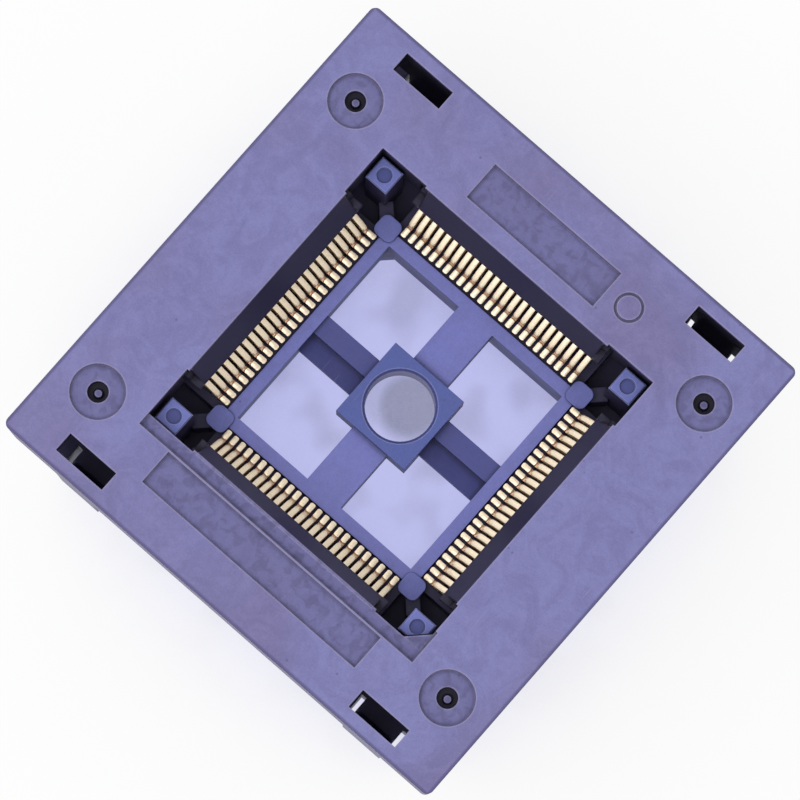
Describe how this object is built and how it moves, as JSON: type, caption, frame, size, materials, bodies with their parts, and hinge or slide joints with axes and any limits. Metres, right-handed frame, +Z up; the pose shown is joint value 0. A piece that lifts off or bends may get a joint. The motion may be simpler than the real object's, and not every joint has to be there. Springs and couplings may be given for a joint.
{
  "type": "zero insertion force socket",
  "caption": "Open-top press-down test socket for a quad flat package: sprung cover frame, rows of hinged stamped contacts, cross-barred platform and board tails.",
  "frame": {"origin": "centre of the base's board seat: the plane of its stand-offs, under the middle of the central hole", "axes": "+Z up from the board towards the cover, +Y towards the back row of contacts, +X towards the right row"},
  "size_m": [0.0298, 0.0298, 0.0179],
  "materials": {
    "cover_plastic": "moulded, fine satin grain with flow marks",
    "base_plastic": "moulded, satin",
    "contact_metal": "gold plated stamped copper alloy",
    "spring_steel": "drawn wire"
  },
  "bodies": {
    "socket_base": {"base": "base_plastic", "platform": "base_plastic", "spring_back_left": "spring_steel", "spring_back_right": "spring_steel", "spring_front_left": "spring_steel", "spring_front_right": "spring_steel", "lower_contacts_right_1": "contact_metal", "lower_contacts_right_2": "contact_metal", "lower_contacts_right_3": "contact_metal", "lower_contacts_right_4": "contact_metal", "lower_contacts_back_1": "contact_metal", "lower_contacts_back_2": "contact_metal", "lower_contacts_back_3": "contact_metal", "lower_contacts_back_4": "contact_metal", "lower_contacts_left_1": "contact_metal", "lower_contacts_left_2": "contact_metal", "lower_contacts_left_3": "contact_metal", "lower_contacts_left_4": "contact_metal", "lower_contacts_front_1": "contact_metal", "lower_contacts_front_2": "contact_metal", "lower_contacts_front_3": "contact_metal", "lower_contacts_front_4": "contact_metal"},
    "cover": {"cover": "cover_plastic"},
    "arms_right": {"upper_arms_right": "contact_metal"},
    "arms_back": {"upper_arms_back": "contact_metal"},
    "arms_left": {"upper_arms_left": "contact_metal"},
    "arms_front": {"upper_arms_front": "contact_metal"}
  },
  "joints": [
    {"name": "cover_press", "type": "slide", "parent": "socket_base", "child": "cover", "axis": [0, 0, -1], "range_m": [0, 0.002], "stiffness_N_per_m": 12000, "deforming": ["spring_back_left", "spring_back_right", "spring_front_left", "spring_front_right"]},
    {"name": "arms_right_open", "type": "hinge", "parent": "socket_base", "child": "arms_right", "pos_m": [0.0089, 0, 0.0066], "axis": [0, 1, 0], "range_deg": [0, 22]},
    {"name": "arms_back_open", "type": "hinge", "parent": "socket_base", "child": "arms_back", "pos_m": [0, 0.0089, 0.0066], "axis": [-1, 0, 0], "range_deg": [0, 22]},
    {"name": "arms_left_open", "type": "hinge", "parent": "socket_base", "child": "arms_left", "pos_m": [-0.0089, 0, 0.0066], "axis": [0, -1, 0], "range_deg": [0, 22]},
    {"name": "arms_front_open", "type": "hinge", "parent": "socket_base", "child": "arms_front", "pos_m": [0, -0.0089, 0.0066], "axis": [1, 0, 0], "range_deg": [0, 22]}
  ],
  "couplings": [
    {"joint": "arms_right_open", "follows": "cover_press", "rad_per_m": 191.98},
    {"joint": "arms_back_open", "follows": "cover_press", "rad_per_m": 191.98},
    {"joint": "arms_left_open", "follows": "cover_press", "rad_per_m": 191.98},
    {"joint": "arms_front_open", "follows": "cover_press", "rad_per_m": 191.98}
  ]
}
